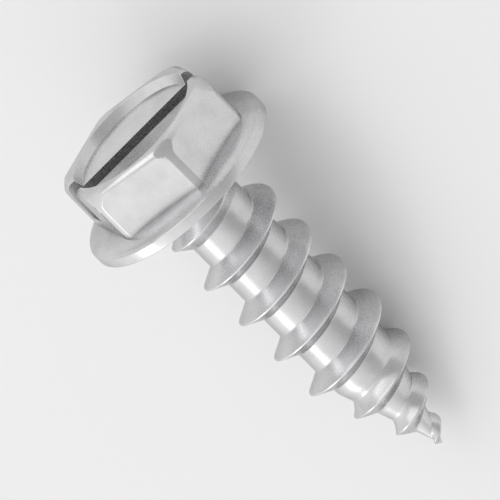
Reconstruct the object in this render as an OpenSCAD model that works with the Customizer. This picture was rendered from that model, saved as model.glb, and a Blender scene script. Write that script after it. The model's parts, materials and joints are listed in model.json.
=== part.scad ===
// Slotted indented hex washer head self-tapping screw, one cold-formed piece of steel.
// It is drawn about its own axis, then laid down on the rim of its washer and a thread crest.

/* [Hex head] */
// Width of the hex across its flats
head_af = 7.94; // [7.2:0.01:8.6]
// Height of the head, from the bearing face to the rim
head_h = 3.66; // [3.4:0.01:4.5]
// Height by which each sharp hex corner is drawn in, seen from above
corner_cut = 0.12; // [0.05:0.01:0.25]
// Radius of the rounded edge where each flat meets the rim
top_edge_r = 0.34; // [0.15:0.01:0.5]
// Radius of the shoulder over each hex corner
shoulder_r = 1.6; // [1.4:0.05:2.2]
// Depth of the shoulder over each hex corner
shoulder_h = 1.0; // [0.8:0.01:1.3]
// Turn of one hex corner about the axis, from the line square to the slot
hex_turn = 6.5; // [0:0.5:30]

/* [Dish and slot] */
// Width of the rim between a flat and the dish
rim_w = 0.42; // [0.35:0.01:0.8]
// Depth of the dish pressed in the top
dish_depth = 0.5; // [0.3:0.01:0.9]
// Draft of the dish wall, in degrees
dish_draft = 16; // [5:1:30]
// Width of the driver slot
slot_w = 1.25; // [1:0.01:1.7]
// Depth of the driver slot, from the rim
slot_depth = 2; // [1.4:0.01:2.3]

/* [Washer flange] */
// Diameter of the flange
flange_d = 10.6; // [9.8:0.01:11.5]
// Thickness of the flange at its edge
flange_t = 0.58; // [0.45:0.01:0.8]
// Rise of the flange's top face, from its edge to the hex
flange_rise = 0.4; // [0.05:0.01:0.45]
// Radius of the flange's two edges
flange_edge_r = 0.07; // [0.03:0.01:0.15]

/* [Thread] */
// Diameter over the thread
thread_d = 5.54; // [4.8:0.01:6.2]
// Depth of the thread, from crest to root
thread_depth = 0.95; // [0.6:0.01:1.1]
// Distance between neighbouring crests
pitch = 2.46; // [2:0.01:2.8]
// Width of the thread at its root
thread_base_w = 1.24; // [1:0.01:1.5]
// Width of the narrow land on the crest
crest_w = 0.06; // [0.02:0.01:0.15]
// Distance from the bearing face to the start of the thread
thread_start = 0.35; // [0.2:0.01:1]
// Angle about the axis at which the thread starts
start_turn = 163; // [0:1:359]
// Turns in which the thread rises to its full depth
run_in = 1.05; // [0.15:0.05:1.3]
// Gap between the thread and the bearing face's inner edge, across the axis
neck_gap = 0.07; // [0.05:0.01:0.3]

/* [Point] */
// Length of the screw, from the bearing face to the tip
length = 18.2; // [15:0.1:26]
// Length of the tapered core at the tip
core_taper_l = 5.4; // [4:0.1:7]
// Length over which the crest tapers to the tip
crest_taper_l = 6.1; // [5:0.1:8]
// How full the crest's taper is, where 1 is a straight cone and less is fuller
crest_fullness = 0.7; // [0.5:0.01:1]
// Distance between crests at the tip, where the thread closes up
tip_pitch = 1.6; // [1.4:0.01:2.4]

/* [Lying] */
// Turn of the lying screw about its own axis, from a level slot
lie_turn = -40; // [-60:1:60]

/* [Hidden] */
$fn = 64;

// Facets round one turn of the thread
turn_steps = 72;
// How far a fused form or a cutter runs on past the face that it meets
overrun = 0.4;
// How far the neck's fillet sinks in the core, so that the two cross at a clear angle
neck_bite = 0.12;
// Gap along the axis between the end of the thread and the tip
tip_gap = 0.15;
// Radius to which the core tapers at the tip
tip_r = 0.05;
// How far inside the flats the flange's domed top is level
level_in = 0.1;
// Share of the distance left to the tip that a flank's foot may take
foot_share = 0.6;

head_r = head_af / 2;
corner_r = head_r / cos(30) - corner_cut;
rim_r = head_r - rim_w;
dish_floor_r = rim_r - dish_depth * tan(dish_draft);
flange_r = flange_d / 2;
thread_r = thread_d / 2;
core_r = thread_r - thread_depth;
neck_r = thread_r + neck_gap;
neck_fillet_r = neck_r - core_r + neck_bite;

// The thread is followed in turns, from 0 at its start under the flange
crest_taper_from = length - crest_taper_l;
turns_straight = (crest_taper_from - thread_start) / pitch;
turns_point = 2 * crest_taper_l / (pitch + tip_pitch);
closing_up = (pitch - tip_pitch) / (2 * turns_point);
// Turns by which the crest stops short of the tip
turns_short = 2 * tip_gap / (tip_pitch + sqrt(tip_pitch ^ 2 + 4 * closing_up * tip_gap));
steps = floor((turns_straight + turns_point - turns_short) * turn_steps);

// Distance of the crest from the bearing face, after a number of turns
function crest_at(turn) = thread_start + pitch * turn - closing_up * max(0, turn - turns_straight) ^ 2;
// Share of a taper that is left at a distance from the bearing face
function left_of(taper_l, s) = min(1, max(0, length - s) / taper_l);
// Radius of the core at a distance from the bearing face
function core_radius(s) = tip_r + (core_r - tip_r) * left_of(core_taper_l, s);
// Radius of the crest after a number of turns, which rises from the core at the thread's start
function crest_radius(turn) =
    let (s = crest_at(turn))
    let (full = max(core_radius(s), thread_r * left_of(crest_taper_l, s) ^ crest_fullness))
    let (rise = turn >= run_in ? 1 : (1 - cos(180 * turn / run_in)) / 2)
    core_radius(s) + (full - core_radius(s)) * rise;
// Distance along the axis from the crest to the foot of each flank
function foot_offset(turn) = min(thread_base_w / 2, foot_share * (length - crest_at(turn)));

// A point at an angle and a radius, at a distance from the bearing face
function on_screw(angle, r, s) = [r * cos(angle), r * sin(angle), -s];
function angle_of(step) = start_turn - 360 * step / turn_steps;
// The thread's section at one step: foot, two corners of the crest, foot
function section(step) =
    let (turn = step / turn_steps, s = crest_at(turn), foot = foot_offset(turn))
    let (half_land = crest_w / thread_base_w * foot, angle = angle_of(step))
    [
        on_screw(angle, core_radius(s - foot), s - foot),
        on_screw(angle, crest_radius(turn), s - half_land),
        on_screw(angle, crest_radius(turn), s + half_land),
        on_screw(angle, core_radius(s + foot), s + foot),
    ];

// Two triangles that fill a four-sided patch
function patch(a, b, c, d) = [[a, b, c], [a, c, d]];
function patches(list) = [for (four = list) each patch(four[0], four[1], four[2], four[3])];

// Core and thread as one closed shell, from a flat cap inside the flange to the tip
module threaded_shank() {
    last = steps;
    cap = 4 * (steps + 1);
    tip = cap + turn_steps;
    seam = cap + turn_steps - 1;
    foot_1 = [for (i = [0:last]) 4 * i];
    foot_2 = [for (i = [0:last]) 4 * i + 3];

    points = [
        for (i = [0:last]) each section(i),
        for (i = [0:turn_steps - 1]) on_screw(angle_of(i), core_r, -overrun),
        on_screw(0, 0, length),
    ];
    flanks_and_crest = [
        for (i = [0:last - 1]) for (j = [0:2])
            [4 * i + j, 4 * i + j + 1, 4 * i + j + 5, 4 * i + j + 4]
    ];
    core_between_turns = [
        for (i = [0:last - turn_steps - 1])
            [foot_2[i], foot_1[i + turn_steps], foot_1[i + turn_steps + 1], foot_2[i + 1]]
    ];
    core_under_head = [
        for (i = [0:turn_steps - 2]) [cap + i, foot_1[i], foot_1[i + 1], cap + i + 1]
    ];
    // The first row lies on one straight line of the core, beside the last column under the head
    start_seam = [foot_1[turn_steps - 1], foot_1[turn_steps], 3, 2, 1, 0, cap];
    start = [for (k = [0:len(start_seam) - 2]) [seam, start_seam[k], start_seam[k + 1]]];
    // The last row ends the thread, and its feet lie on one straight line of the core's cone
    first_free = last - turn_steps;
    end_seam = [foot_2[first_free], foot_1[last], foot_2[last], tip];
    end = [for (k = [0:len(end_seam) - 2]) [end_seam[k], end_seam[k + 1], foot_2[first_free + 1]]];
    cone = [for (i = [first_free + 1:last - 1]) [foot_2[i], tip, foot_2[i + 1]]];
    flat_cap = [for (i = [0:turn_steps - 1]) cap + i];
    thread_end = [foot_1[last], foot_1[last] + 1, foot_1[last] + 2, foot_2[last]];

    polyhedron(points, concat(
        patches(concat(flanks_and_crest, core_between_turns, core_under_head)),
        start, end, cone, [flat_cap, thread_end]
    ));
}

// Half section of the flange, with the fillet that leads down to the core
module flange_section() {
    edge_x = flange_r - flange_edge_r;
    top = flange_t + flange_rise;
    level_r = head_r - level_in;
    dome_r = ((edge_x - level_r) ^ 2 + flange_rise ^ 2) / (2 * flange_rise);
    difference() {
        union() {
            square([edge_x, flange_t]);
            square([level_r, top]);
            intersection() {
                square([edge_x, top]);
                translate([level_r, top - dome_r]) circle(dome_r);
            }
            translate([0, flange_edge_r]) square([flange_r, flange_t - 2 * flange_edge_r]);
            translate([edge_x, flange_edge_r]) circle(flange_edge_r);
            translate([edge_x, flange_t - flange_edge_r]) circle(flange_edge_r);
            translate([0, -neck_fillet_r]) square([neck_r, neck_fillet_r + overrun]);
        }
        translate([neck_r, -neck_fillet_r]) circle(neck_fillet_r);
    }
}

// Upright section across two opposite flats, with its two top edges rounded
module flats_section() {
    edge_x = head_r - top_edge_r;
    translate([-head_r, 0]) square([head_af, head_h - top_edge_r]);
    translate([-edge_x, 0]) square([2 * edge_x, head_h]);
    for (side = [-1, 1])
        translate([side * edge_x, head_h - top_edge_r]) circle(top_edge_r);
}

// Half section of the round outline that draws in the corners, with a shoulder over them
module corner_section() {
    centre = [corner_r - shoulder_r, head_h - shoulder_h];
    intersection() {
        square([corner_r, head_h]);
        union() {
            square([corner_r, centre.y]);
            square([centre.x, head_h]);
            translate(centre) circle(shoulder_r);
        }
    }
}

module hex_block() {
    intersection() {
        rotate_extrude() corner_section();
        slab(0);
        slab(60);
        slab(120);
    }
}

module slab(turn) {
    rotate([90, 0, turn + hex_turn + 30])
        linear_extrude(4 * head_r, center = true)
            flats_section();
}

module dish() {
    slope = tan(dish_draft);
    translate([0, 0, head_h - dish_depth])
        cylinder(h = dish_depth + overrun, r1 = dish_floor_r, r2 = rim_r + overrun * slope);
}

module slot() {
    translate([-slot_w / 2, -flange_r, head_h - slot_depth])
        cube([slot_w, flange_d, slot_depth + overrun]);
}

module head() {
    difference() {
        union() {
            rotate_extrude() flange_section();
            hex_block();
        }
        dish();
        slot();
    }
}

// The screw lies on the edge of its flange and on one crest of the thread
edge_in = flange_r - flange_edge_r;
// The slope of a line that touches the flange's edge and a crest at radius r, s from the bearing face
function slope_to(r, s) =
    atan((edge_in - r) / (s + flange_edge_r)) + asin(flange_edge_r / norm([edge_in - r, s + flange_edge_r]));
// Turns after which the thread crosses the line along the underside, opposite to the top
first_under = (start_turn + 180 - lie_turn) % 360 / 360;
crossings = [for (turn = [first_under + 1 : 1 : steps / turn_steps]) turn];
lie_slope = min([for (turn = crossings) slope_to(crest_radius(turn), crest_at(turn))]);
lie_height = edge_in * cos(lie_slope) + flange_edge_r * (1 - sin(lie_slope));
head_end = head_h * cos(lie_slope) + head_r * sin(lie_slope);
tip_end = length * cos(lie_slope);

module screw() {
    color("silver")
        translate([(head_end - tip_end) / 2, 0, lie_height])
            rotate([0, lie_slope - 90, 0])
                rotate([0, 0, -lie_turn])
                    union() {
                        head();
                        threaded_shank();
                    }
}

screw();
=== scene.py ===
import json
from math import acos, atan2, cos, degrees, floor, pi, radians, sin, sqrt, tan, tau

import bmesh
import bpy
from mathutils import Matrix, Vector


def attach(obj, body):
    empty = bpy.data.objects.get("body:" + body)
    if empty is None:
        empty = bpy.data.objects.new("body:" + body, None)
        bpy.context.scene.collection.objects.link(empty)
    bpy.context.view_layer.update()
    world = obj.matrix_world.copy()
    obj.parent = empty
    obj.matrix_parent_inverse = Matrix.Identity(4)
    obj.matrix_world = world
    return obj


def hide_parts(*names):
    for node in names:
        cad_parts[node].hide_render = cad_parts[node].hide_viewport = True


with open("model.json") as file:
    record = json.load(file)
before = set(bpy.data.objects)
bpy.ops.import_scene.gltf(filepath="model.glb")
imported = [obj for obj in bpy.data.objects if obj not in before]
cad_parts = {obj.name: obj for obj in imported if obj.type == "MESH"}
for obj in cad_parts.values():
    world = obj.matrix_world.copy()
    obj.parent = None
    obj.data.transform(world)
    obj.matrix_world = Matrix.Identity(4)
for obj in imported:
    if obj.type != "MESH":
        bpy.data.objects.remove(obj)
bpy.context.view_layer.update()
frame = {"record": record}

# Sizes of the screw, in millimetres and degrees, about its own axis.
# The bearing face is at height 0, the head is above it and the point below.

# Hex head, with the dish and the slot in its top
HEX_ACROSS_FLATS = 7.94
HEAD_HEIGHT = 3.66
CORNER_CUT = 0.12
TOP_EDGE_RADIUS = 0.34
SHOULDER_RADIUS = 1.6
SHOULDER_HEIGHT = 1.0
HEX_TURN = 6.5
RIM_WIDTH = 0.42
DISH_DEPTH = 0.5
DISH_DRAFT = 16
SLOT_WIDTH = 1.25
SLOT_DEPTH = 2.0

# Washer flange. Its domed top is level from a little inside the flats.
FLANGE_DIAMETER = 10.6
FLANGE_THICKNESS = 0.58
FLANGE_RISE = 0.4
LEVEL_IN = 0.1
FLANGE_EDGE_RADIUS = 0.07
NECK_GAP = 0.07
NECK_BITE = 0.12

# Thread. It rises out of the neck over its run-in, which is in turns.
THREAD_DIAMETER = 5.54
THREAD_DEPTH = 0.95
PITCH = 2.46
THREAD_ROOT_WIDTH = 1.24
CREST_WIDTH = 0.06
THREAD_START = 0.35
START_ANGLE = 163
RUN_IN = 1.05

# Point. Its length is that under the head, and its pitch the last one.
LENGTH = 18.2
CORE_TAPER = 5.4
CREST_TAPER = 6.1
CREST_FULLNESS = 0.7
POINT_PITCH = 1.6
TIP_RADIUS = 0.05
POINT_CONE = 0.07
FOOT_SHARE = 0.6

# Small rounds that the solid leaves sharp
ROOT_FILLET = 0.14
CREST_ROUND = 0.02
EDGE_BREAK = 0.03

# Turn of the lying screw about its own axis, from a level slot
LIE_TURN = -40

HEX_RADIUS = HEX_ACROSS_FLATS / 2
CORNER_RADIUS = HEX_RADIUS / cos(radians(30)) - CORNER_CUT
RIM_RADIUS = HEX_RADIUS - RIM_WIDTH
DISH_SLOPE = tan(radians(DISH_DRAFT))
DISH_FLOOR_RADIUS = RIM_RADIUS - DISH_DEPTH * DISH_SLOPE
DISH_FLOOR = HEAD_HEIGHT - DISH_DEPTH
SLOT_FLOOR = HEAD_HEIGHT - SLOT_DEPTH
# A hair smaller than the solid's, whose fine facets cut into the true circle
FACET_GAP = 0.001
FLANGE_RADIUS = FLANGE_DIAMETER / 2 - FACET_GAP
FLANGE_TOP = FLANGE_THICKNESS + FLANGE_RISE
THREAD_RADIUS = THREAD_DIAMETER / 2
CORE_RADIUS = THREAD_RADIUS - THREAD_DEPTH
NECK_RADIUS = THREAD_RADIUS + NECK_GAP
NECK_FILLET = NECK_RADIUS - CORE_RADIUS + NECK_BITE
HALF_ROOT = THREAD_ROOT_WIDTH / 2
HALF_LAND = CREST_WIDTH / 2

# How far a form reaches past the surface that it cuts or is fused with
OVERRUN = 0.4
# Where the hex and its corners' outline start, inside the flange
HEX_FOOT = 0.3
CORNER_FOOT = 0.1
# Turns of the thread that are swept above its start, inside the head
TURNS_ABOVE = 1.5

# Steps of the rounds: full turns first, then arcs from the widest to the smallest
THREAD_STEPS = 120
ROUND_STEPS = 160
SHOULDER_STEPS = 16
NECK_STEPS = 14
DOME_STEPS = 10
TOP_EDGE_STEPS = 8
ROOT_STEPS = 5
FLANGE_EDGE_STEPS = 4
CREST_STEPS = 3
EDGE_BREAK_STEPS = 2
# Flanks longer than this get points of their own, so that they can bend at the neck
LONG_FLANK = 0.3
FLANK_CUTS = 4

# Points nearer than these are made one: of a form, of the sweep, of the drawn point, of the whole
FORM_GAP = 1e-4
SWEEP_GAP = 0.002
DRAWN_GAP = 0.004
FUSED_GAP = 0.003
# How near a point lies to a line or a height, to a wall or to a cut to count as on it
NEAR = 0.01
NEAR_WALL = 0.002
NEAR_CUT = 1e-5
# Edges turned by more than these angles are broken, or keep a crisp shade
BREAK_ANGLE = 24
CRISP_ANGLE = 30

# The thread is followed in turns from its start under the flange
STRAIGHT_TURNS = (LENGTH - CREST_TAPER - THREAD_START) / PITCH
POINT_TURNS = 2 * CREST_TAPER / (PITCH + POINT_PITCH)
CLOSING_UP = (PITCH - POINT_PITCH) / (2 * POINT_TURNS)

MM = 0.001
mounts = {m["name"]: m for m in frame["record"]["mounts"]}
seat = Vector(mounts["thread"]["pos_m"])
tipward = Vector(mounts["thread"]["axis"]).normalized()
level = Vector((0, 1, 0))
upward = level.cross(-tipward)
lie_turn = radians(LIE_TURN)
across_slot = upward * cos(lie_turn) - level * sin(lie_turn)
along_slot = upward * sin(lie_turn) + level * cos(lie_turn)
# From the screw's own axes, in millimetres, to its place in the frame
lying = Matrix((across_slot, along_slot, -tipward)).transposed()
place = Matrix.Translation(seat) @ lying.to_4x4() @ Matrix.Scale(MM, 4)


# ---- shapes -----------------------------------------------------------------

def arc(centre, radius, start, end, steps):
    """Points on an arc of an outline, from one angle to another in degrees."""
    angles = [radians(start + (end - start) * i / steps) for i in range(steps + 1)]
    return [(centre[0] + radius * cos(a), centre[1] + radius * sin(a)) for a in angles]


def chain(bm, outline):
    """An open line of edges in the plane of the screw's axis."""
    points = [bm.verts.new((x, 0, z)) for x, z in outline]
    return points + [bm.edges.new(pair) for pair in zip(points, points[1:])]


def merge_points(bm, gap):
    """Makes near points one. They go in a set order, so that each run keeps the same ones."""
    in_order = sorted(bm.verts, key=lambda v: tuple(v.co))
    bmesh.ops.remove_doubles(bm, verts=in_order, dist=gap)


def tidy_solid(bm):
    merge_points(bm, FORM_GAP)
    bmesh.ops.recalc_face_normals(bm, faces=bm.faces)
    return bm


def turned(outline):
    """A solid turned about the screw's axis from its half outline."""
    bm = bmesh.new()
    bmesh.ops.spin(bm, geom=chain(bm, outline), cent=(0, 0, 0), axis=(0, 0, 1), dvec=(0, 0, 0),
                   angle=tau, steps=ROUND_STEPS, use_merge=True)
    return tidy_solid(bm)


def round_off(bm, edges, radius, steps):
    bmesh.ops.bevel(bm, geom=edges, offset=radius, offset_type="OFFSET", affect="EDGES",
                    segments=steps, profile=0.5, material=-1, clamp_overlap=False)


def add_object(name, bm):
    mesh = bpy.data.meshes.new(name)
    bm.to_mesh(mesh)
    bm.free()
    thing = bpy.data.objects.new(name, mesh)
    bpy.context.scene.collection.objects.link(thing)
    return thing


def put_together(base, *steps):
    """Fuses, trims and cuts a base with other solids. All are objects that go afterwards."""
    for operation, other in steps:
        fit = base.modifiers.new(other.name, "BOOLEAN")
        fit.operation = operation
        fit.object = other
        fit.solver = "EXACT"
    bpy.context.view_layer.update()
    result = bmesh.new()
    result.from_object(base, bpy.context.evaluated_depsgraph_get())
    for scrap in [base] + [other for _, other in steps]:
        bpy.data.meshes.remove(scrap.data)
    return result


# ---- head -------------------------------------------------------------------

def washer_flange():
    """Flange with its domed top and its fillet down to the core, turned in one outline."""
    edge = FLANGE_RADIUS - FLANGE_EDGE_RADIUS
    high_edge = FLANGE_THICKNESS - FLANGE_EDGE_RADIUS
    level_from = HEX_RADIUS - LEVEL_IN
    dome = ((edge - level_from) ** 2 + FLANGE_RISE ** 2) / (2 * FLANGE_RISE)
    dome_end = degrees(acos((edge - level_from) / dome))
    outline = [(0, -NECK_FILLET)]
    outline += arc((NECK_RADIUS, -NECK_FILLET), NECK_FILLET, 180, 90, NECK_STEPS)
    outline += arc((edge, FLANGE_EDGE_RADIUS), FLANGE_EDGE_RADIUS, -90, 0, FLANGE_EDGE_STEPS)
    outline += arc((edge, high_edge), FLANGE_EDGE_RADIUS, 0, 90, FLANGE_EDGE_STEPS)
    outline += arc((level_from, FLANGE_TOP - dome), dome, dome_end, 90, DOME_STEPS)[1:]
    return turned(outline + [(0, FLANGE_TOP)])


def at_top(v):
    return v.co.z > HEAD_HEIGHT - NEAR


def hex_blank():
    bm = bmesh.new()
    bmesh.ops.create_circle(bm, cap_ends=True, radius=HEX_RADIUS / cos(radians(30)), segments=6,
                            matrix=Matrix.Rotation(radians(HEX_TURN - 30), 4, "Z"))
    bmesh.ops.translate(bm, verts=bm.verts, vec=(0, 0, HEX_FOOT))
    lifted = bmesh.ops.extrude_face_region(bm, geom=bm.faces[:])["geom"]
    bmesh.ops.translate(bm, verts=[v for v in lifted if isinstance(v, bmesh.types.BMVert)],
                        vec=(0, 0, HEAD_HEIGHT - HEX_FOOT))
    tidy_solid(bm)
    round_off(bm, [e for e in bm.edges if all(map(at_top, e.verts))],
              TOP_EDGE_RADIUS, TOP_EDGE_STEPS)
    return tidy_solid(bm)


def corner_outline():
    """The round outline that draws in the corners, with a shoulder over them."""
    centre = (CORNER_RADIUS - SHOULDER_RADIUS, HEAD_HEIGHT - SHOULDER_HEIGHT)
    reach = OVERRUN + SHOULDER_HEIGHT
    highest = degrees(atan2(reach, sqrt(SHOULDER_RADIUS ** 2 - reach ** 2)))
    shoulder = arc(centre, SHOULDER_RADIUS, 0, highest, SHOULDER_STEPS)
    return turned([(0, CORNER_FOOT), (CORNER_RADIUS, CORNER_FOOT)] + shoulder
                  + [(0, centre[1] + reach)])


def dish():
    above = HEAD_HEIGHT + OVERRUN
    return turned([(0, DISH_FLOOR), (DISH_FLOOR_RADIUS, DISH_FLOOR),
                   (RIM_RADIUS + OVERRUN * DISH_SLOPE, above), (0, above)])


def slot():
    bm = bmesh.new()
    bmesh.ops.create_cube(bm, size=1)
    high = SLOT_DEPTH + OVERRUN
    bmesh.ops.scale(bm, verts=bm.verts, vec=(SLOT_WIDTH, FLANGE_DIAMETER, high))
    bmesh.ops.translate(bm, verts=bm.verts, vec=(0, 0, SLOT_FLOOR + high / 2))
    return bm


# ---- thread -----------------------------------------------------------------

def crest_at(turn):
    """Distance of the crest below the bearing face, after a number of turns."""
    return THREAD_START + PITCH * turn - CLOSING_UP * max(0, turn - STRAIGHT_TURNS) ** 2


def left_of(taper, below):
    """The share of a taper that is still left at a distance below the bearing face."""
    return min(1, max(0, LENGTH - below) / taper)


def core_radius(below):
    return TIP_RADIUS + (CORE_RADIUS - TIP_RADIUS) * left_of(CORE_TAPER, below)


def crest_radius(turn):
    below = crest_at(turn)
    core = core_radius(below)
    full = max(core, THREAD_RADIUS * left_of(CREST_TAPER, below) ** CREST_FULLNESS)
    rise = (1 - cos(pi * min(1, max(0, turn) / RUN_IN))) / 2
    return core + (full - core) * rise


def half_foot(turn):
    """Half the width of the thread at its root. It narrows where the point ends."""
    return max(0, min(HALF_ROOT, FOOT_SHARE * (LENGTH - crest_at(turn))))


def thread_side():
    """One side of the thread, as (distance below the crest, radius), and how far it reaches."""
    flank = atan2(THREAD_DEPTH, HALF_ROOT - HALF_LAND)
    up = degrees(flank)
    fillet_run = ROOT_FILLET * tan(flank / 2)
    round_run = CREST_ROUND * tan(flank / 2)
    fillet = arc((-HALF_ROOT - fillet_run, ROOT_FILLET), ROOT_FILLET, -90, up - 90, ROOT_STEPS)
    crest = arc((-HALF_LAND + round_run, -CREST_ROUND), CREST_ROUND, 90 + up, 90, CREST_STEPS)
    side = [(x, CORE_RADIUS + y) for x, y in fillet] + [(x, THREAD_RADIUS + y) for x, y in crest]
    return side, HALF_ROOT + fillet_run


def rolled_thread():
    """Core and thread from one outline, swept in a helix and then drawn to the point."""
    side, reach = thread_side()
    outline = side + [(-x, r) for x, r in reversed(side)] + [(PITCH - reach, CORE_RADIUS)]
    top = THREAD_START - PITCH * TURNS_ABOVE
    bm = bmesh.new()
    chain(bm, [(r, -(top + x)) for x, r in outline])
    below_crest = bm.verts.layers.float.new("below_crest")
    flanks = [e for e in bm.edges if e.calc_length() > LONG_FLANK]
    bmesh.ops.subdivide_edges(bm, edges=flanks, cuts=FLANK_CUTS)
    for v in bm.verts:
        v[below_crest] = -v.co.z - top
    start = Matrix.Rotation(radians(START_ANGLE) + tau * TURNS_ABOVE, 3, "Z")
    bmesh.ops.rotate(bm, verts=bm.verts, cent=(0, 0, 0), matrix=start)
    # Two steps more than the turns, so that the sweep ends past the point
    steps = floor((TURNS_ABOVE + STRAIGHT_TURNS + POINT_TURNS) * THREAD_STEPS) + 2
    bmesh.ops.spin(bm, geom=bm.verts[:] + bm.edges[:], cent=(0, 0, 0), axis=(0, 0, -1),
                   dvec=(0, 0, -PITCH / THREAD_STEPS), angle=tau * steps / THREAD_STEPS,
                   steps=steps)
    merge_points(bm, SWEEP_GAP)
    for v in bm.verts:
        draw_to_point(v, v[below_crest], reach)
    merge_points(bm, DRAWN_GAP)
    cut_flat(bm, OVERRUN, 1)
    # The last of the point is a plain small cone
    end = cut_flat(bm, POINT_CONE - LENGTH, -1)
    apex = bmesh.ops.poke(bm, faces=end)["verts"][0]
    apex.co = (0, 0, -LENGTH)
    return tidy_solid(bm)


def draw_to_point(v, below_crest, reach):
    """Moves one point of the even helix to where the closing, tapered thread has it."""
    around = sqrt(v.co.x ** 2 + v.co.y ** 2)
    turn = (-v.co.z - below_crest - THREAD_START) / PITCH
    height = (around - CORE_RADIUS) / THREAD_DEPTH
    if below_crest <= reach:
        below = crest_at(turn) + below_crest * half_foot(turn) / HALF_ROOT
    else:
        share = (below_crest - reach) / (PITCH - 2 * reach)
        foot = crest_at(turn) + reach * half_foot(turn) / HALF_ROOT
        next_foot = crest_at(turn + 1) - reach * half_foot(turn + 1) / HALF_ROOT
        below = foot + (next_foot - foot) * share
    below = min(below, LENGTH)
    radius = core_radius(below) * (1 - height) + crest_radius(turn) * height
    scale = radius / around
    v.co = (v.co.x * scale, v.co.y * scale, -below)


def cut_flat(bm, z, side):
    """Cuts off what lies past a height, and closes the cut with one face."""
    cut = bmesh.ops.bisect_plane(bm, geom=bm.verts[:] + bm.edges[:] + bm.faces[:], dist=NEAR_CUT,
                                 plane_co=(0, 0, z), plane_no=(0, 0, side), clear_outer=True)
    rim = [e for e in cut["geom_cut"] if isinstance(e, bmesh.types.BMEdge)]
    return bmesh.ops.holes_fill(bm, edges=rim, sides=0)["faces"]


# ---- the whole screw --------------------------------------------------------

def on_slot_edge(v):
    return abs(abs(v.co.x) - SLOT_WIDTH / 2) < NEAR_WALL and v.co.z > SLOT_FLOOR + NEAR


def on_dish_edge(v):
    radius = v.co.xy.length
    on_rim = abs(radius - RIM_RADIUS) < NEAR and at_top(v)
    on_foot = abs(radius - DISH_FLOOR_RADIUS) < NEAR and v.co.z < DISH_FLOOR + NEAR
    return on_rim or on_foot


def break_edges(bm):
    """Takes the sharpness off the dish's two edges and the edges of the slot."""
    sharp = [e for e in bm.edges if len(e.link_faces) == 2
             and e.calc_face_angle() > radians(BREAK_ANGLE)]
    crisp = [e for e in sharp
             if all(map(on_dish_edge, e.verts)) or all(map(on_slot_edge, e.verts))]
    round_off(bm, crisp, EDGE_BREAK, EDGE_BREAK_STEPS)


def shade(bm):
    for face in bm.faces:
        face.smooth = True
    for edge in bm.edges:
        edge.smooth = (len(edge.link_faces) != 2
                       or edge.calc_face_angle() < radians(CRISP_ANGLE))


def make_screw():
    hex_head = put_together(add_object("hex_blank", hex_blank()),
                            ("INTERSECT", add_object("corner_outline", corner_outline())))
    bm = put_together(add_object("washer_flange", washer_flange()),
                      ("UNION", add_object("hex_head", hex_head)),
                      ("UNION", add_object("rolled_thread", rolled_thread())),
                      ("DIFFERENCE", add_object("dish", dish())),
                      ("DIFFERENCE", add_object("slot", slot())))
    merge_points(bm, FUSED_GAP)
    break_edges(bm)
    shade(bm)
    bmesh.ops.transform(bm, matrix=place, verts=bm.verts)
    screw = add_object("hex_washer_head_screw", bm)
    screw.modifiers.new("even_shading", "WEIGHTED_NORMAL").keep_sharp = True
    return screw


# ---- finish -----------------------------------------------------------------

# The steel's tone and how rough it is, each from its lowest to its highest
STEEL_TONE = (0.68, 0.76)
STEEL_BLUE = 1.012
STEEL_ROUGH = (0.25, 0.31)
ROLLED_ROUGH = (-0.02, 0.02)
GLANCING_TINT = 0.7
# Sizes of the patterns, as waves in a millimetre, and the part of a noise that counts
MOTTLE, GRAIN, ROLL_MARKS = 1.1, 15.0, 9.0
NOISE_PART = (0.3, 0.7)
NOISE_DETAIL = 2.0
GRAIN_RELIEF, ROLL_RELIEF = 0.6, 0.4
RELIEF_STRENGTH, RELIEF_DEPTH = 0.03, 0.00001
# How much darker the painted shade makes the steel in the slot, at the hex's foot and on the
# core, and how much brighter the crests are made, as rubbed wear and painted highlight
SLOT_PAINTED_SHADE, FOOT_PAINTED_SHADE, CORE_PAINTED_SHADE, CREST_WEAR_AND_HIGHLIGHT = 0.15, 0.16, 0.05, 0.12
# Where they fade, in millimetres
SLOT_WALL_FADE = (0.005, 0.03)
SLOT_FLOOR_FADE = (-0.03, -0.01)
FOOT_FADE = 0.24
CORE_FADE = (0.02, 0.4)
CREST_FADE = (0.07, 0.02)
NECK_FADE = (-0.3, -0.1)
POINT_FADE = 2

PAPER_WHITE = (0.92, 0.92, 0.92, 1)
PAPER_ROUGH = 0.9
PAPER_SHEEN = 0.1


class Finish:
    """A material, with short words for the nodes that it is made of."""

    def __init__(self, name):
        self.material = bpy.data.materials.new(name)
        self.material.use_nodes = True
        self.tree = self.material.node_tree
        self.shader = self.tree.nodes["Principled BSDF"]

    def node(self, kind, inputs=(), **settings):
        made = self.tree.nodes.new(kind)
        for key, value in settings.items():
            setattr(made, key, value)
        self.feed(made, inputs)
        return made

    def feed(self, node, inputs):
        for name, value in dict(inputs).items():
            if isinstance(value, bpy.types.NodeSocket):
                self.tree.links.new(value, node.inputs[name])
            else:
                node.inputs[name].default_value = value

    def math(self, operation, a, b=0.0):
        return self.node("ShaderNodeMath", {0: a, 1: b}, operation=operation).outputs[0]

    def times(self, *factors):
        result = factors[0]
        for factor in factors[1:]:
            result = self.math("MULTIPLY", result, factor)
        return result

    def noise(self, where, scale):
        return self.node("ShaderNodeTexNoise", {"Vector": where, "Scale": scale,
                                                "Detail": NOISE_DETAIL}).outputs["Fac"]

    def spread(self, value, low, high, to_low, to_high):
        return self.node("ShaderNodeMapRange", {"Value": value, "From Min": low, "From Max": high,
                                                "To Min": to_low,
                                                "To Max": to_high}).outputs["Result"]

    def rising(self, value, start, end):
        return self.spread(value, start, end, 0, 1)

    def falling(self, value, start, end):
        return self.spread(value, start, end, 1, 0)


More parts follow.
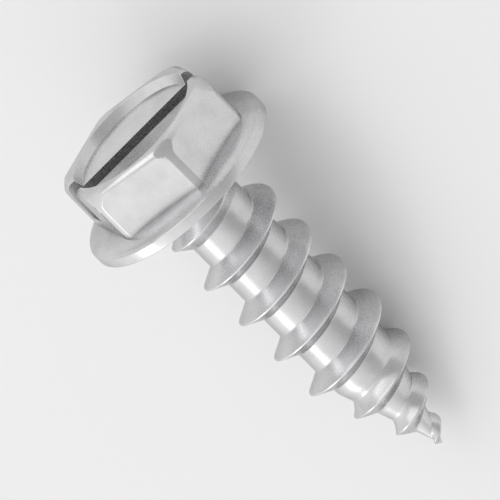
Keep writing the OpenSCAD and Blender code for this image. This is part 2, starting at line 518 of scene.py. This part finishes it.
def satin_steel():
    finish = Finish("satin_steel")
    node, calc, times, spread = finish.node, finish.math, finish.times, finish.spread
    rising, falling = finish.rising, finish.falling
    spot = node("ShaderNodeTexCoord").outputs["Object"]
    # Millimetres about the screw's own axis
    own = node("ShaderNodeMapping", {"Vector": spot, "Location": seat, "Scale": (MM, MM, MM),
                                     "Rotation": lying.to_euler("XYZ")},
               vector_type="TEXTURE").outputs[0]
    split = node("ShaderNodeSeparateXYZ", {0: own}).outputs
    across, along, height = split[0], split[1], split[2]
    flat = node("ShaderNodeCombineXYZ", {0: across, 1: along}).outputs[0]
    radius = node("ShaderNodeVectorMath", {0: flat}, operation="LENGTH").outputs["Value"]
    rings = node("ShaderNodeCombineXYZ", {0: radius, 1: height}).outputs[0]
    mottle = finish.noise(own, MOTTLE)
    grain = finish.noise(own, GRAIN)
    roll_marks = finish.noise(rings, ROLL_MARKS)

    # Painted shade: darker deep in the slot, at the foot of the hex and on the core between the
    # turns
    wall = SLOT_WIDTH / 2
    in_slot = times(
        falling(calc("ABSOLUTE", across), wall + SLOT_WALL_FADE[0], wall + SLOT_WALL_FADE[1]),
        rising(height, DISH_FLOOR, SLOT_FLOOR),
        rising(height, SLOT_FLOOR + SLOT_FLOOR_FADE[0], SLOT_FLOOR + SLOT_FLOOR_FADE[1]))
    # Painted shade at the foot of the hex, where it meets the flange
    from_foot = calc("ABSOLUTE", calc("SUBTRACT", height, FLANGE_TOP))
    at_foot = falling(from_foot, 0, FOOT_FADE)
    below_neck = falling(height, *NECK_FADE)
    point_top = CREST_TAPER - LENGTH
    # Painted shade on the core between the turns
    on_core = times(falling(radius, CORE_RADIUS + CORE_FADE[0], CORE_RADIUS + CORE_FADE[1]),
                    below_neck, rising(height, point_top - POINT_FADE, point_top))
    # Lighter crests: partly rubbed wear, partly a painted highlight along the convex edges
    on_crest = times(rising(radius, THREAD_RADIUS - CREST_FADE[0], THREAD_RADIUS - CREST_FADE[1]),
                     below_neck)
    # Share of the tone that stays: lowered by painted shade in the hollows, raised on the crests
    # by rubbed wear and a painted highlight
    painted_light_share = 1.0
    for where, share in ((in_slot, -SLOT_PAINTED_SHADE), (at_foot, -FOOT_PAINTED_SHADE), (on_core, -CORE_PAINTED_SHADE),
                         (on_crest, CREST_WEAR_AND_HIGHLIGHT)):
        painted_light_share = calc("ADD", painted_light_share, calc("MULTIPLY", where, share))

    tone = times(spread(mottle, *NOISE_PART, *STEEL_TONE), painted_light_share)
    colour = node("ShaderNodeCombineColor", {0: tone, 1: tone, 2: times(tone, STEEL_BLUE)})
    rough = calc("ADD", spread(grain, *NOISE_PART, *STEEL_ROUGH),
                 spread(roll_marks, *NOISE_PART, *ROLLED_ROUGH))
    relief = calc("ADD", times(grain, GRAIN_RELIEF), times(roll_marks, ROLL_RELIEF))
    bump = node("ShaderNodeBump", {"Strength": RELIEF_STRENGTH, "Distance": RELIEF_DEPTH,
                                   "Height": relief})
    finish.feed(finish.shader, {"Specular Tint": (GLANCING_TINT, GLANCING_TINT, GLANCING_TINT, 1),
                                "Base Color": colour.outputs[0], "Metallic": 1.0,
                                "Roughness": rough, "Normal": bump.outputs[0]})
    return finish.material


def white_paper():
    finish = Finish("white_paper")
    finish.feed(finish.shader, {"Base Color": PAPER_WHITE, "Roughness": PAPER_ROUGH,
                                "Specular IOR Level": PAPER_SHEEN})
    return finish.material


# ---- studio -----------------------------------------------------------------

# The view is parallel. It looks at the head from in front of square to the axis.
VIEW_TILT = radians(20)
VIEW_WIDTH = 23.299 * MM
# From the bearing face to the middle of the view
DOWN_THE_SCREW = 4.429 * MM
UP_THE_SLOT = 0.023 * MM
CAMERA_DISTANCE = 0.1
CAMERA_REACH = (0.001, 10)
view_back = sin(VIEW_TILT) * -tipward + cos(VIEW_TILT) * across_slot
view_along = cos(VIEW_TILT) * tipward + sin(VIEW_TILT) * across_slot
view_middle = seat + DOWN_THE_SCREW * view_along + UP_THE_SLOT * along_slot

# The key shows as a streak along the side of the shank, left of its middle
KEY_TURN = radians(39)
KEY_SIZE = (0.30, 0.10)
KEY_BRIGHTNESS = 1.2
streak = cos(KEY_TURN) * across_slot - sin(KEY_TURN) * along_slot
key_side = 2 * streak.dot(view_back) * streak - view_back

# The other lamp stands beyond the head, a little to the left
HEAD_LAMP_TURN = radians(70)
HEAD_LAMP_LEFT = 0.4
HEAD_LAMP_SIZE = (0.24, 0.24)
HEAD_LAMP_BRIGHTNESS = 0.8
head_side = (view_back * cos(HEAD_LAMP_TURN)
             - (tipward + along_slot * HEAD_LAMP_LEFT) * sin(HEAD_LAMP_TURN))

LAMP_DISTANCE = 0.30
FLOOR_REACH = 1.5
# The room is brighter towards the key: how far from it, and from what to what brightness
ROOM_TURN = (-0.2, 1.0)
ROOM_BRIGHTNESS = (0.48, 1.0)


def facing(point, back, right):
    turn = Matrix((right, back.cross(right), back)).transposed().to_4x4()
    return Matrix.Translation(point) @ turn


def add_camera():
    lens = bpy.data.cameras.new("camera")
    lens.type = "ORTHO"
    lens.ortho_scale = VIEW_WIDTH
    lens.clip_start, lens.clip_end = CAMERA_REACH
    camera = bpy.data.objects.new("camera", lens)
    bpy.context.scene.collection.objects.link(camera)
    right = (view_along + along_slot).normalized()
    camera.matrix_world = facing(view_middle + view_back * CAMERA_DISTANCE, view_back, right)
    bpy.context.scene.camera = camera


def add_floor():
    bm = bmesh.new()
    bmesh.ops.create_grid(bm, x_segments=1, y_segments=1, size=FLOOR_REACH)
    floor_sheet = add_object("floor", bm)
    floor_sheet.data.materials.append(white_paper())


def add_softbox(name, direction, size, brightness):
    """A rectangular lamp that faces the screw from a direction."""
    light = bpy.data.lights.new(name, "AREA")
    light.shape = "RECTANGLE"
    light.size, light.size_y = size
    light.energy = brightness * size[0] * size[1] * pi
    lamp = bpy.data.objects.new(name, light)
    bpy.context.scene.collection.objects.link(lamp)
    back = direction.normalized()
    right = tipward - back * tipward.dot(back)
    lamp.matrix_world = facing(view_middle + back * LAMP_DISTANCE, back, right.normalized())
    lamp.visible_camera = False


def light_room():
    world = bpy.data.worlds.new("studio")
    world.use_nodes = True
    tree = world.node_tree
    direction = tree.nodes.new("ShaderNodeTexCoord").outputs["Generated"]
    towards = tree.nodes.new("ShaderNodeVectorMath")
    towards.operation = "DOT_PRODUCT"
    towards.inputs[1].default_value = key_side
    tree.links.new(direction, towards.inputs[0])
    glow = tree.nodes.new("ShaderNodeMapRange")
    glow.interpolation_type = "SMOOTHSTEP"
    tree.links.new(towards.outputs["Value"], glow.inputs["Value"])
    for socket, value in zip(("From Min", "From Max", "To Min", "To Max"),
                             ROOM_TURN + ROOM_BRIGHTNESS):
        glow.inputs[socket].default_value = value
    background = tree.nodes["Background"]
    background.inputs["Color"].default_value = (1, 1, 1, 1)
    tree.links.new(glow.outputs["Result"], background.inputs["Strength"])
    bpy.context.scene.world = world


screw = make_screw()
screw.data.materials.append(satin_steel())
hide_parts("screw")
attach(screw, "root")
add_camera()
add_floor()
add_softbox("key_softbox", key_side, KEY_SIZE, KEY_BRIGHTNESS)
add_softbox("head_softbox", head_side, HEAD_LAMP_SIZE, HEAD_LAMP_BRIGHTNESS)
light_room()
bpy.context.scene.view_settings.view_transform = "Standard"
